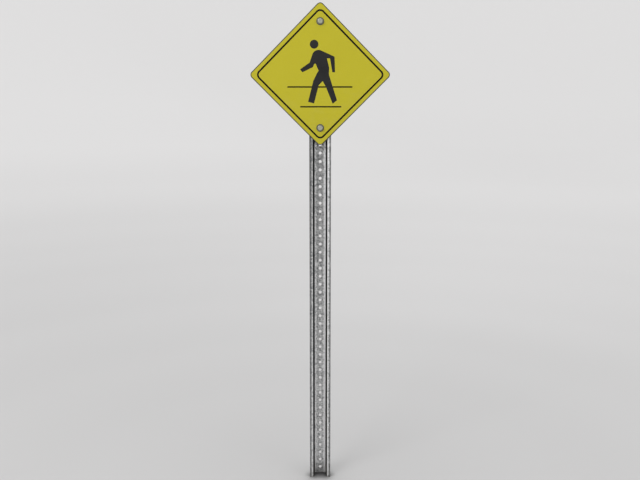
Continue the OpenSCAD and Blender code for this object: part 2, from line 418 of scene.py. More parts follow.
class Mat:
    """A material under construction; its coordinates are made on first use."""

    def __init__(self, name):
        self.material = bpy.data.materials.new(name)
        self.material.use_nodes = True
        self.tree = self.material.node_tree
        self.tree.nodes.clear()
        self.out = self.node("ShaderNodeOutputMaterial")

    @cached_property
    def metres(self):
        return Value(self, self.node("ShaderNodeTexCoord").outputs["Object"])

    @cached_property
    def mm(self):
        return self.vector_math("SCALE", self.metres, scale=1000.0)

    @cached_property
    def position(self):
        return self.split(self.mm)

    x = property(lambda self: self.position[0])
    y = property(lambda self: self.position[1])
    z = property(lambda self: self.position[2])

    @cached_property
    def geometry(self):
        return self.node("ShaderNodeNewGeometry")

    @cached_property
    def normal(self):
        """The surface normal in the object's axes, as three values."""
        turned = self.node("ShaderNodeVectorTransform", vector_type="NORMAL",
                           convert_from="WORLD", convert_to="OBJECT")
        self.put(turned.inputs[0], Value(self, self.geometry.outputs["Normal"]))
        return self.split(Value(self, turned.outputs[0]))

    def node(self, kind, **props):
        node = self.tree.nodes.new(kind)
        for key, value in props.items():
            setattr(node, key, value)
        return node

    def put(self, socket, value):
        """Links a Value to an input, or sets the input to a constant."""
        if isinstance(value, Value):
            self.tree.links.new(value.socket, socket)
        else:
            if socket.type == "RGBA" and len(value) == 3:
                value = (*value, 1.0)
            socket.default_value = value

    def make(self, kind, inputs, output=0, **props):
        """Adds a node, fills its inputs (by name or number) and returns one output."""
        node = self.node(kind, **props)
        for key, value in inputs.items():
            self.put(node.inputs[key], value)
        return Value(self, node.outputs[output])

    def math(self, kind, a, b):
        return self.make("ShaderNodeMath", {0: a, 1: b}, operation=kind)

    def vector_math(self, kind, vector, other=None, scale=None):
        inputs = {0: vector}
        if other is not None:
            inputs[1] = other
        if scale is not None:
            inputs["Scale"] = scale
        return self.make("ShaderNodeVectorMath", inputs, operation=kind)

    def stretched(self, vector, x=1.0, y=1.0, z=1.0):
        return self.vector_math("MULTIPLY", vector, (x, y, z))

    def split(self, vector):
        node = self.node("ShaderNodeSeparateXYZ")
        self.put(node.inputs[0], vector)
        return [Value(self, socket) for socket in node.outputs]

    def vec(self, x, y, z):
        return self.make("ShaderNodeCombineXYZ", {0: x, 1: y, 2: z})

    def ramp(self, value, span, to=(0.0, 1.0), smooth=True):
        """The value's run over span mapped onto to, clamped; span may run downwards."""
        return self.make(
            "ShaderNodeMapRange",
            {"Value": value, "From Min": span[0], "From Max": span[1],
             "To Min": to[0], "To Max": to[1]},
            interpolation_type="SMOOTHSTEP" if smooth else "LINEAR", clamp=True)

    def mix(self, amount, a, b):
        return self.make("ShaderNodeMix", {0: amount, 2: a, 3: b},
                         data_type="FLOAT", clamp_factor=True)

    def mix_colour(self, amount, a, b, blend="MIX"):
        return self.make("ShaderNodeMix", {0: amount, 6: a, 7: b}, output=2,
                         data_type="RGBA", blend_type=blend, clamp_factor=True)

    def noise(self, vector=None, *, scale, detail=3.0, rough=0.6, distort=0.0, colour=False):
        """Noise over vector, or over the position in millimetres."""
        return self.make(
            "ShaderNodeTexNoise",
            {"Vector": vector or self.mm, "Scale": scale, "Detail": detail,
             "Roughness": rough, "Distortion": distort},
            output="Color" if colour else 0, noise_dimensions="3D")

    def voronoi(self, vector, *, scale, feature="F1", output="Distance"):
        return self.make("ShaderNodeTexVoronoi", {"Vector": vector, "Scale": scale},
                         output=output, feature=feature, voronoi_dimensions="3D")

    def red(self, colour):
        return self.make("ShaderNodeSeparateColor", {0: colour})

    def bump(self, height, *, strength, dist, under=None):
        """A bumped normal, on top of the one under it; dist is in metres."""
        inputs = {"Strength": strength, "Distance": dist, "Height": height}
        if under is not None:
            inputs["Normal"] = under
        return self.make("ShaderNodeBump", inputs)

    def surface(self, colour, *, rough, metal, normal, **more):
        """Ends the material in a Principled shader; underscores stand for spaces in more."""
        inputs = {"Base Color": colour, "Roughness": rough, "Metallic": metal, "Normal": normal}
        inputs.update({key.replace("_", " "): value for key, value in more.items()})
        shader = self.make("ShaderNodeBsdfPrincipled", inputs)
        self.put(self.out.inputs["Surface"], shader)
        return self.material


# =====================================================================
# materials (positions and widths in millimetres, colours linear)
# =====================================================================

def steel_hollow(m, right):
    """Where the channel's inner walls are, and how much painted shade they get from the angle they
    are seen at.
    """
    def by_side(left_value, right_value):
        return m.mix(right, left_value, right_value)

    inward = m.x.op("SIGN") * m.normal[0]
    turned_in = m.ramp(inward, (by_side(-0.34, -0.26), by_side(-0.56, -0.44)))
    wall = turned_in * m.ramp(m.y, (
        by_side(WEB_FRONT - 0.9, WEB_FRONT - 0.5),
        by_side(WEB_FRONT - 2.6, WEB_FRONT - 1.6)))
    within = m.ramp(abs(m.x), (by_side(24.6, 22.5), by_side(23.4, 21.6)))
    hollow = wall * within * m.ramp(m.y, (post_lo.y - 0.5, post_lo.y + 0.5))
    # painted shade: seen from straight ahead the walls are at a grazing angle and are painted
    # almost black
    view_x, view_y, _ = m.split(Value(m, m.geometry.outputs["Incoming"]))
    above_zero = 1e-6
    level = (view_x * view_x + view_y * view_y) + above_zero
    sideways = abs(view_x) / level.op("SQRT")
    glancing = hollow * m.ramp(sideways, (0.42, 0.12))
    # painted shade: from behind, the walls seen through the holes are painted dark, so the holes
    # show as dark dots
    behind = m.ramp(view_y, (0.05, 0.30), to=(0.0, 0.9))
    return hollow, larger(glancing, hollow * behind)


def steel_painted_light(m, right):
    """Brightness factor of the web and the flanges: painted light and shade."""
    from_middle = abs(m.x)
    in_web = m.ramp(m.y, (WEB_FRONT - 4.0, WEB_FRONT - 1.5)) * m.ramp(m.normal[1], (0.1, -0.1))
    on_flange = m.ramp(m.y, (post_lo.y + 12.0, post_lo.y + 5.0))
    # painted highlight on the web's borders, painted shade on the flanges' outer edges
    web = m.ramp(from_middle, (8.5, 14.0), to=(1.13, 2.10))
    darkest, gain, falloff = 0.42, 1.95, 1.9
    inner_share = m.ramp(from_middle, (31.6, 22.4), smooth=False)
    flange = darkest + inner_share ** falloff * gain
    # painted shade on both, growing towards the sign up to 1080 mm, except on the right flange
    up = smaller(m.z, 1080.0)
    web_fade, left_fade = 0.00045, 0.00060  # loss per millimetre of height
    web = web * (1.13 - up * web_fade)
    web = web * m.ramp(m.x, (8.0, 13.5), to=(1.0, 1.50))
    left = m.ramp(m.x, (4.0, -4.0))
    flange = flange * m.mix(left, 1.12, 1.16 - up * left_fade)
    # painted highlight at the right flange's root and painted shade at its edge
    root = m.ramp(m.x, (23.0, 27.0), to=(m.mix(right, 1.0, 1.16), 1.0))
    flange = flange * (root * m.ramp(m.x, (30.0, 32.2), to=(1.0, 0.62)))
    return m.mix(in_web, 1.0, web) * m.mix(on_flange, 1.0, flange)


def galvanised():
    m = Mat("galvanised_steel")
    # spangle: warped crystals a few millimetres across, each a slightly different grey
    wobble = m.noise(scale=0.35, detail=2.0, rough=0.5, colour=True)
    warped = m.vector_math("ADD", m.mm, m.vector_math("SCALE", wobble, scale=3.0))
    big, middling, small = (
        m.red(m.voronoi(warped, scale=scale, output="Color")) for scale in (0.17, 0.29, 0.85))
    feather = m.noise(scale=2.2, rough=0.65)
    # shares of the crystal sizes in the spangle
    spangle = (big * 0.16 + middling * 0.46) + (small * 0.20 + feather * 0.18)
    # weather: dull patches, runs down the post, faint roll lines along it
    patch = m.noise(scale=0.018, detail=4.0)
    runs = m.noise(m.stretched(m.mm, z=0.02), scale=0.35)
    lines = m.noise(m.stretched(m.mm, z=0.012), scale=2.6, detail=2.0, rough=0.5)
    tone = (spangle.swing(1.75) + patch.swing(0.18)) + (runs.swing(0.12) + lines.swing(0.10))
    colour = m.mix_colour(0.5 + tone, (0.20, 0.205, 0.21), (0.72, 0.725, 0.72))

    right = m.ramp(m.x, (-4.0, 4.0))
    hollow, glancing = steel_hollow(m, right)
    # painted light and shade of the web and flanges
    painted_light = steel_painted_light(m, right)

    # splash dirt at the foot; rust on the cut ends, which have no zinc
    dirt = m.noise(m.stretched(m.mm, z=0.12), scale=0.5)
    foot = m.ramp(m.z, (70.0, 0.0))
    foot = foot * m.ramp(dirt + foot * 0.35, (0.42, 0.75))
    cut = larger(m.ramp(m.z, (1.6, 0.3)), m.ramp(m.z, (post_hi.z - 1.6, post_hi.z - 0.3)))

    # each hole: a thin dull halo round it and painted shade in its bore
    keep_positive = 40 * PITCH
    from_hole = (m.z + (keep_positive - HOLES[0])).op("PINGPONG", PITCH / 2)
    radius = length_of(m.x, from_hole)
    halo = m.ramp(radius, (HOLE_R + 2.6, HOLE_R + 0.1)) * m.ramp(abs(m.normal[1]), (0.3, 0.9))
    bore = m.ramp(radius, (HOLE_R + 0.6, HOLE_R + 0.05)) * m.ramp(abs(m.normal[1]), (0.85, 0.25))
    colour = m.mix_colour(halo * 0.42, colour, (0.20, 0.20, 0.195))
    colour = m.mix_colour(bore * 0.5, colour, (0.17, 0.165, 0.155))

    # painted light and shade of the web and flanges, held under a ceiling
    colour = m.vector_math("SCALE", colour, scale=painted_light)
    colour = m.mix_colour(1.0, colour, (0.93, 0.93, 0.93), blend="DARKEN")
    # painted shade in the hollow, painted near-black shade at grazing views, foot dirt, rust
    colour = m.mix_colour(hollow * 0.45, colour, (0.105, 0.105, 0.105))
    colour = m.mix_colour(glancing * 0.99, colour, (0.004, 0.004, 0.0045))
    colour = m.mix_colour(foot * 0.28, colour, (0.16, 0.15, 0.135))
    colour = m.mix_colour(cut * m.ramp(dirt, (0.3, 0.7)), colour, (0.13, 0.085, 0.055))

    # bright crystals are smoother; hollow and foot are rough and less metallic
    rough = 0.46 + (spangle.swing(-0.30) + patch.swing(0.25))
    rough = m.mix(larger(hollow * 0.7, foot), rough, 0.70)
    metal = m.mix(larger(glancing, cut * 0.6), 0.86, 0.20)
    metal = m.mix(hollow * 0.5, metal, 0.20)
    normal = m.bump(big * 0.4 + middling * 0.6, strength=0.10, dist=0.00006)
    normal = m.bump(feather * 0.5 + lines * 0.5, strength=0.16, dist=0.00010, under=normal)
    return m.surface(colour, rough=rough, metal=metal, normal=normal,
                     Specular_IOR_Level=m.mix(glancing, 0.5, 0.05))


def sign_axes(m):
    """Coordinates along the sign's two edge directions, about its centre,
    and the distance in from the nearest edge."""
    cosine = math.cos(math.pi / 4)
    up = m.z - SIGN_Z
    u = (m.x + up) * cosine
    v = (up - m.x) * cosine
    beyond_u = abs(u) - (SIDE / 2 - CORNER)
    beyond_v = abs(v) - (SIDE / 2 - CORNER)
    from_corner = length_of(larger(beyond_u, 0.0), larger(beyond_v, 0.0))
    edge = CORNER - (from_corner + smaller(larger(beyond_u, beyond_v), 0.0))
    return u, v, edge


def scratches(m, u, v):
    """Stray scratches in a few directions."""
    found = None
    # direction in degrees, scale of the scratch pattern
    for k, (direction, scale) in enumerate(((17, 0.16), (-31, 0.13), (74, 0.11))):
        a = math.radians(direction)
        along = u * math.cos(a) + v * math.sin(a)
        aside = v * math.cos(a) - u * math.sin(a)
        lines = m.voronoi(m.vec(along * 0.05, aside, float(k * 37)), scale=scale,
                          feature="DISTANCE_TO_EDGE")
        patches = m.noise(m.vec(along * 0.6, aside * 0.6, float(k * 11)),
                          scale=0.05, detail=2.0, rough=0.5)
        gate = m.ramp(patches, (0.56, 0.66))
        scratch = m.ramp(lines, (0.012, 0.0)) * gate
        found = scratch if found is None else larger(found, scratch)
    return found


def mill_aluminium():
    m = Mat("mill_aluminium")
    u, v, edge = sign_axes(m)
    uv = m.vec(u, v, m.y)
    # roll lines and broad streaks along u, smudges and haze anywhere
    roll = m.noise(m.stretched(uv, x=0.012), scale=3.2, detail=4.0)
    broad = m.noise(m.stretched(uv, x=0.02, y=0.35), scale=1.0, detail=2.0, rough=0.5)
    smudge = m.noise(scale=0.022, detail=4.0, rough=0.62, distort=0.6)
    haze = m.noise(scale=0.11)
    scratch = scratches(m, u, v)
    tone = (roll.swing(0.35) + broad.swing(0.22)) + smudge.swing(0.35)
    colour = m.mix_colour(0.55 + tone, (0.46, 0.47, 0.48), (0.74, 0.745, 0.75))
    colour = m.mix_colour(m.ramp(haze, (0.55, 0.8)) * 0.20, colour, (0.80, 0.80, 0.79))
    colour = m.mix_colour(scratch * 0.5, colour, (0.85, 0.85, 0.85))
    # sheared edge and the bare rim: dull, and painted dark as shade along the outline
    front = m.ramp(m.y, (blank_hi.y - 0.4, blank_hi.y - 1.0))
    rim = m.ramp(edge, (RIM + 1.2, RIM + 0.2)) * front
    sheared = m.ramp(m.y, (blank_hi.y, blank_lo.y + 0.4), to=(0.55, 1.0))
    rim = larger(rim, m.ramp(edge, (0.5, 0.1)) * sheared)
    rim_variation = m.noise(scale=0.7)
    dark = m.mix_colour(m.ramp(rim_variation, (0.35, 0.72)), (0.030, 0.030, 0.028), (0.095, 0.095, 0.090))
    colour = m.mix_colour(rim, colour, dark)
    rough = 0.34 + (roll.swing(0.28) + smudge.swing(0.40))
    rough = m.mix(rim, rough, 0.38)
    metal = m.mix(rim, 0.95, 0.0)
    # roll lines with the scratches cut in, over a slow unevenness of the sheet
    normal = m.bump(roll * 0.8 + scratch * -0.8, strength=0.22, dist=0.00008)
    uneven = m.noise(scale=0.02, detail=2.0, rough=0.5)
    normal = m.bump(uneven, strength=0.30, dist=0.0012, under=normal)
    return m.surface(colour, rough=rough, metal=metal, normal=normal,
                     Anisotropic=0.35, Specular_IOR_Level=m.mix(rim, 0.5, 0.12))


def yellow_sheeting():
    m = Mat("yellow_sheeting")
    u, v, edge = sign_axes(m)
    up = m.z - SIGN_Z
    # sealed cells of the sheeting: a fine lattice of paler lines
    cell = 3.4
    keep_positive = 400.0
    from_u = (u + keep_positive).op("PINGPONG", cell / 2)
    from_v = (v + keep_positive).op("PINGPONG", cell / 2)
    wall = larger(m.ramp(from_u, (0.30, 0.08)), m.ramp(from_v, (0.30, 0.08)))
    bead = m.noise(scale=5.0, detail=2.0)
    tone = m.noise(scale=0.010, rough=0.55)
    fade = m.noise(scale=0.035, detail=4.0)
    colour = m.mix_colour(0.5 + (tone.swing(0.5) + fade.swing(0.35)),
                          (0.440, 0.386, 0.0068), (0.494, 0.440, 0.0100))
    # paler beads and cell walls
    colour = m.mix_colour((bead - 0.35) * 0.22, colour, (0.60, 0.55, 0.03))
    colour = m.mix_colour(wall * 0.13, colour, (0.66, 0.62, 0.10))
    # a little dull dust towards the lower corner
    dust = m.ramp(fade, (0.45, 0.75)) * m.ramp(up, (60.0, -180.0))
    colour = m.mix_colour(dust * 0.10, colour, (0.36, 0.33, 0.16))
    # painted shade along the sheeting's edge
    edge_shade = m.ramp(edge, (RIM + 1.1, RIM + 0.2)) * 0.80
    colour = m.mix_colour(edge_shade, colour, (0.14, 0.125, 0.035))
    # fine wipe marks along X
    wipe = m.noise(m.vec(m.x * 0.05, m.y, up), scale=0.9)
    rough = 0.36 + (wipe.swing(0.16) + fade.swing(0.16))
    normal = m.bump(wall * 0.5 + bead * 0.35, strength=0.20, dist=0.00006)
    return m.surface(colour, rough=rough, metal=0.0, normal=normal, IOR=1.46,
                     Specular_IOR_Level=0.35, Coat_Weight=0.15, Coat_Roughness=0.18)


def black_film(name, brightness, specular):
    m = Mat(name)
    fade = m.noise(scale=0.03, detail=4.0)
    peel = m.noise(scale=1.6, detail=2.0, rough=0.5)
    # dust specks in some places, wipe marks along X
    speck = m.ramp(m.voronoi(m.mm, scale=0.22), (0.10, 0.04))
    gate = m.ramp(m.noise(scale=0.05, detail=2.0, rough=0.5), (0.52, 0.62))
    wipe = m.noise(m.vec(m.x * 0.05, m.y, m.z), scale=0.9)
    colour = m.mix_colour(0.5 + fade.swing(1.2), (0.0090 * brightness,) * 3,
                          (0.0190 * brightness,) * 3)
    colour = m.mix_colour(speck * gate * (0.35 * brightness), colour, (0.16, 0.155, 0.14))
    wiped = m.ramp(wipe, (0.60, 0.78)) * (0.18 * brightness)
    colour = m.mix_colour(wiped, colour, (0.06, 0.06, 0.057))
    rough = 0.34 + (wipe.swing(0.25) + fade.swing(0.2))
    normal = m.bump(peel, strength=0.12, dist=0.00008)
    return m.surface(colour, rough=rough, metal=0.0, normal=normal,
                     IOR=1.46, Specular_IOR_Level=specular)


def zinc(name, axis_z, seed, dull=0.0):
    """Zinc-plated steel of a piece whose axis runs along Y at height axis_z.

    dull 1 is weathered grey."""
    m = Mat(name)
    up = m.z - axis_z
    radius = length_of(m.x, up)
    place = m.vec(m.x + seed * 31.0, m.y, up)
    grain = m.noise(place, scale=1.1, detail=4.0, rough=0.62)
    stain = m.noise(place, scale=0.22)
    fine = m.noise(place, scale=6.0, detail=2.0)
    rings = m.noise(m.vec(radius * 3.0, m.y * 0.3, 0.0), scale=1.6, detail=2.0, rough=0.5)
    tone = grain.swing(0.30) + (stain.swing(0.30) + rings.swing(0.14))
    colour = m.mix_colour(0.6 + tone, (0.225, 0.23, 0.185), (0.585, 0.595, 0.49))
    # faint straw tint of the passivation, then the weathering
    colour = m.mix_colour(m.ramp(stain, (0.5, 0.75)) * 0.18, colour, (0.50, 0.47, 0.30))
    weathered = dull * m.ramp(grain, (0.15, 0.75), to=(0.85, 1.0))
    colour = m.mix_colour(weathered, colour, (0.115, 0.115, 0.085))
    # painted shade in the thread roots and recesses
    root = m.ramp(radius, (3.75, 3.15)) * m.ramp(abs(m.normal[1]), (0.97, 0.75))
    colour = m.mix_colour(root * 0.65, colour, (0.13, 0.13, 0.125))
    rough = 0.34 + (grain.swing(0.24) + stain.swing(0.22))
    rough = rough + 0.12 * dull
    normal = m.bump(fine * 0.4 + grain * 0.6, strength=0.18, dist=0.00005)
    return m.surface(colour, rough=rough, metal=0.88 - 0.25 * dull, normal=normal)


def dark_nylon():
    m = Mat("dark_nylon")
    grain = m.noise(scale=1.8)
    dust = m.noise(scale=0.3)
    colour = m.mix_colour(m.ramp(dust, (0.45, 0.75)), (0.060, 0.060, 0.050), (0.110, 0.108, 0.090))
    rough = 0.48 + grain.swing(0.2)
    normal = m.bump(grain, strength=0.25, dist=0.00006)
    return m.surface(colour, rough=rough, metal=0.0, normal=normal, IOR=1.53)


MAT_STEEL = galvanised()
MAT_ALUMINIUM = mill_aluminium()
MAT_YELLOW = yellow_sheeting()
MAT_BLACK = black_film("black_film", brightness=1.0, specular=0.28)
MAT_LINE = black_film("black_film_lines", brightness=0.3, specular=0.12)
MAT_NYLON = dark_nylon()
MAT_ZINC = {w: zinc("zinc_" + w, BOLTS[w], seed=k + 1) for k, w in enumerate(BOLTS)}
# front washers: weathered grey, and darkened also as painted shade round the bright bolt heads
MAT_DULL_SHADED = {
    w: zinc("zinc_washer_" + w, BOLTS[w], seed=k + 4, dull=0.62) for k, w in enumerate(BOLTS)
}


# =====================================================================
# post
# =====================================================================

BEND_STEPS = 12
STRAIGHT_STEPS = 3

# a punched hole from front to back: drawn-in edge, sheared bore, small rear edge
# (radius beyond HOLE_R, y)
HOLE_PROFILE = [
    (1.10, WEB_FRONT), (0.72, WEB_FRONT + 0.03), (0.42, WEB_FRONT + 0.12),
    (0.18, WEB_FRONT + 0.28), (0.05, WEB_FRONT + 0.50), (0.0, WEB_FRONT + 0.80),
    (0.02, post_hi.y - 0.60), (0.06, post_hi.y - 0.12), (0.12, post_hi.y - 0.03),
    (0.22, post_hi.y),
]
HOLE_STEPS = 48


def section_stations():
    """Middle line of the right half of the hat section, as (x, y, heading),
    from the web's centre to the end of the flange's bend."""
    depth = post_hi.y - post_lo.y
    slope = math.atan((MOUTH - FLOOR_W) / 2 / (depth - STEEL_T))
    bend = math.pi / 2 - slope
    middle_r = BEND_R + STEEL_T / 2
    shift = STEEL_T / 2 * math.tan(bend / 2)
    setback = middle_r * math.tan(bend / 2)
    x = FLOOR_W / 2 + shift - setback
    y = post_hi.y - STEEL_T / 2
    stations = [(0.0, y, 0.0), (x, y, 0.0)]
    # bend from the web into the wall
    for k in range(1, BEND_STEPS + 1):
        a = -bend * k / BEND_STEPS
        stations.append((x - middle_r * math.sin(a), y - middle_r + middle_r * math.cos(a), a))
    # the sloping wall
    x, y, heading = stations[-1]
    run = (depth - STEEL_T) / math.cos(slope) - 2 * setback
    for k in range(1, STRAIGHT_STEPS + 1):
        part = run * k / STRAIGHT_STEPS
        stations.append((x + part * math.cos(heading), y + part * math.sin(heading), heading))
    # bend from the wall into the flange
    x, y, heading = stations[-1]
    cx, cy = x - middle_r * math.sin(heading), y + middle_r * math.cos(heading)
    for k in range(1, BEND_STEPS + 1):
        a = -bend * (1 - k / BEND_STEPS)
        stations.append((cx + middle_r * math.sin(a), cy - middle_r * math.cos(a), a))
    return stations


def build_post():
    half = section_stations()
    half_width = (post_hi.x - post_lo.x) / 2
    bend_x, flange_y, _ = half[-1]
    edge_x = half_width - FLANGE_EDGE_R
    half += [
        (bend_x + (edge_x - bend_x) * k / STRAIGHT_STEPS, flange_y, 0.0)
        for k in range(1, STRAIGHT_STEPS + 1)
    ]
    line = [(-x, y, -h) for x, y, h in half[:0:-1]] + half
    n = len(line)
    web = n // 2  # index of the web's centre
    half_t = STEEL_T / 2
    front = [(x + half_t * math.sin(h), y - half_t * math.cos(h)) for x, y, h in line]
    rear = [(x - half_t * math.sin(h), y + half_t * math.cos(h)) for x, y, h in line]
    right = arc(edge_x, flange_y - half_t + FLANGE_EDGE_R, FLANGE_EDGE_R, -90, 0, 5)[1:]
    right += arc(edge_x, flange_y + half_t - FLANGE_EDGE_R, FLANGE_EDGE_R, 0, 90, 5)[:-1]
    left = [(-x, y) for x, y in right[::-1]]
    outline = front + right + rear[::-1] + left
    around = len(outline)
    rear_start = n + len(right)

    def front_id(i):
        return i

    def rear_id(i):
        return rear_start + (n - 1 - i)

    # levels up the post: (inset, height); each hole has a level below, at and above it
    length = post_hi.z - post_lo.z
    bevel = rounding(END_BEVEL, 3)
    cells = [
        (0.0, HOLES[0] - post_lo.z + PITCH / 2 * (k - 1)) for k in range(2 * len(HOLES) + 1)
    ]
    levels = bevel + cells + [(d, length - depth) for d, depth in reversed(bevel)]
    first_cell = len(bevel)
    last_cell = first_cell + len(cells) - 1

    shell = Shell()
    rings = []
    for d, height in levels:
        points = inset(outline, d) if d > 1e-9 else outline
        rings.append(shell.add([(x, y, post_lo.z + height) for x, y in points]))

    # walls, left open at the web's middle where the holes are
    open_segments = (web - 1, web, rear_id(web + 1), rear_id(web))
    for r, (a, b) in enumerate(zip(rings, rings[1:])):
        for j in range(around):
            if first_cell <= r < last_cell and j in open_segments:
                continue
            k = (j + 1) % around
            shell.face((a[j], a[k], b[k], b[j]))

    # foot and top
    for ring in (rings[0], rings[-1]):
        for i in range(n - 1):
            shell.face((ring[i], ring[i + 1], ring[rear_id(i + 1)], ring[rear_id(i)]))
        shell.face([*ring[n - 1:rear_start], ring[rear_id(n - 1)]])
        shell.face([ring[rear_id(0)], *ring[rear_start + n:], ring[0]])

    # punched holes, each joined to the web in four quarters
    quarter = HOLE_STEPS // 4
    for c, z in enumerate(HOLES):
        loops = [
            shell.add([(x, y, up) for x, up in circle(0.0, z, HOLE_R + extra, HOLE_STEPS)])
            for extra, y in HOLE_PROFILE
        ]
        shell.bands(loops)
        centre = first_cell + 1 + 2 * c
        low, middle, high = rings[centre - 1:centre + 2]
        for loop, at, flip in ((loops[0], front_id, False), (loops[-1], rear_id, True)):
            lt, mid, rt = at(web - 1), at(web), at(web + 1)
            corners = [
                [middle[rt], high[rt], high[mid]],
                [high[mid], high[lt], middle[lt]],
                [middle[lt], low[lt], low[mid]],
                [low[mid], low[rt], middle[rt]],
            ]
            for k in range(4):
                rim = [loop[(k * quarter + i) % HOLE_STEPS] for i in range(quarter + 1)]
                face = corners[k] + rim[::-1]
                shell.face(face[::-1] if flip else face)
    finish_piece("channel_post", shell, MAT_STEEL, "post")


build_post()


# =====================================================================
# sign
# =====================================================================

# border line: inset of its middle from the sign's edge, width, corner radius of its middle
BORDER_INSET = 15.0
BORDER_W = 5
BORDER_CORNER = 13

# head of the walking figure, about the sign's centre
HEAD_X, HEAD_Z, HEAD_R = -17.6, 86.7, 12.5

# body of the walking figure, about the sign's centre: corners (x, z, radius)
BODY = [
    (-16.1, 77.4, 18.8),
    (41.9, 51.5, 3.5), (43.4, 7.2, 0.6), (35.4, 7.2, 0.6), (28.7, 46.6, 1.2),
    (19.6, 46.9, 1.2), (26.2, 21, 25), (25.4, 1, 20),
    (49.4, -73.4, 1), (36.8, -83.4, 1), (16.2, -33.5, 30),
    (7.3, -18.2, 0.8), (-4.3, -30, 2.5), (-18, -82.4, 1), (-35.6, -77.9, 1),
    (-29.4, -54, 60), (-20.2, -17.6, 12), (-9, 5.2, 14),
    (-4.4, 11.8, 1.2), (-13.6, 31.8, 1.2), (-17, 31.4, 1.2),
    (-21.4, 21.6, 5), (-51.8, 7.2, 0.6), (-58.8, 15.4, 0.6), (-30.8, 34.7, 2.5),
]

# crosswalk lines: centre x, half length, and heights about the sign's centre
UPPER_X, UPPER_HALF, UPPER_Z, UPPER_HALF_W = -0.8, 95.2, -34.9, 2.0
LOWER_X, LOWER_HALF, LOWER_BOTTOM, LOWER_TOP = 1.8, 60.3, -94.1, -90.1


def build_plate(name, outline, lo, hi, material, node, slot, **edges):
    """A plate of the sign with its two bolt holes."""
    holes = [circle(0.0, z, HOLE_R, 64, clockwise=True) for z in BOLTS.values()]
    finish_piece(name, slab([outline] + holes, lo.y, hi.y, **edges), material, node)


def film_slab(loops, grid=0):
    return slab(loops, film_lo.y, film_hi.y, front=0.05, back=0.01, segs=2, grid=grid)


def build_film(name, loops, node, material, grid=0):
    finish_piece(name, film_slab(loops, grid), material, node)


def cut_line(loop, z, x0, x1):
    """Ends of the line at height z and where it crosses the loop, from x0 to x1."""
    hits = []
    for (ax, az), (bx, bz) in zip(loop, loop[1:] + loop[:1]):
        if (az > z) != (bz > z):
            hits.append(ax + (bx - ax) * (z - az) / (bz - az))
    return [x0] + sorted(h for h in hits if x0 < h < x1) + [x1]


def build_upper_line(figure):
    """The upper crosswalk line, in three strips between and beside the legs."""
    bottom = SIGN_Z + UPPER_Z - UPPER_HALF_W
    rows = [bottom + 2 * UPPER_HALF_W * k / 4 for k in range(5)]
    cuts = [cut_line(figure, z, UPPER_X - UPPER_HALF, UPPER_X + UPPER_HALF) for z in rows]
    shell = Shell()
    for strip in range(3):
        left = [(cut[2 * strip], z) for cut, z in zip(cuts, rows)]
        right = [(cut[2 * strip + 1], z) for cut, z in zip(cuts, rows)]
        shell.join(film_slab([left[::-1] + right]))
    finish_piece("crosswalk_line_upper", shell, MAT_LINE, "legend_line_upper")


def build_lower_line():
    x0, x1 = LOWER_X - LOWER_HALF, LOWER_X + LOWER_HALF
    z0, z1 = SIGN_Z + LOWER_BOTTOM, SIGN_Z + LOWER_TOP
    build_film("crosswalk_line_lower", [[(x0, z0), (x1, z0), (x1, z1), (x0, z1)]],
               "legend_line_lower", MAT_LINE)


def build_sign():
    build_plate("sign_plate", diamond(SIDE, CORNER), blank_lo, blank_hi,
                MAT_ALUMINIUM, "sign_blank", "mill_aluminium",
                front=1.0, back=0.35, segs=5, grid=14)
    build_plate("yellow_face", diamond(SIDE - 2 * RIM, CORNER - RIM), sheet_lo, sheet_hi,
                MAT_YELLOW, "reflective_sheeting", "yellow_sheeting",
                front=0.12, back=0.02, segs=2, grid=12)
    middle = SIDE - 2 * BORDER_INSET
    build_film("legend_border_line", [
        diamond(middle + BORDER_W, BORDER_CORNER + BORDER_W / 2),
        diamond(middle - BORDER_W, BORDER_CORNER - BORDER_W / 2),
    ], "legend_border", MAT_LINE)
    figure = rounded_profile(BODY, lift=SIGN_Z)
    build_film("figure_body", [figure], "legend_body", MAT_BLACK, grid=8)
    build_film("figure_head", [circle(HEAD_X, SIGN_Z + HEAD_Z, HEAD_R, 96)],
               "legend_head", MAT_BLACK, grid=6)
    build_upper_line(figure)
    build_lower_line()


build_sign()


# =====================================================================
# fasteners, drawn along +Z from their front plane and then turned along +Y
# =====================================================================

ROWS_PER_PITCH = 12


def thread_depth(y, angle):
    """0 on the crest and 1 in the root of a right-hand thread about +Y; y in the frame."""
    phase = (y / THREAD_PITCH - angle / TAU) % 1.0
    from_root = abs(phase - 0.5) * 2
    d = max(0.0, min(1.0, (from_root - 1 / 6) / (4 / 6)))
    return d * d * (3 - 2 * d) * 0.35 + d * 0.65


def hex_ring(turn):
    """(angle, radius) round a hexagon with rounded corners, its flats facing
    0, 60, ... degrees before the turn."""
    flat_steps, corner_steps = 8, 4
    reach = (HEX_R - HEX_CORNER_R) / math.cos(math.pi / 6)
    points = []
    for k in range(6):
        cx, cy = arc_point(0, 0, reach, 30 + 60 * k)
        next_x, next_y = arc_point(0, 0, reach, 90 + 60 * k)
        points += arc(cx, cy, HEX_CORNER_R, 60 * k, 60 * k + 60, corner_steps)
        x0, y0 = arc_point(cx, cy, HEX_CORNER_R, 60 * k + 60)
        x1, y1 = arc_point(next_x, next_y, HEX_CORNER_R, 60 * k + 60)
        for j in range(1, flat_steps):
            points.append((x0 + (x1 - x0) * j / flat_steps, y0 + (y1 - y0) * j / flat_steps))
    return [(math.atan2(y, x) + math.radians(turn), math.hypot(x, y)) for x, y in points]


def ring_at(shell, hexagon, radius, z):
    """A round ring with a point at each of the hexagon's angles."""
    return shell.add([(radius * math.cos(a), radius * math.sin(a), z) for a, _ in hexagon])


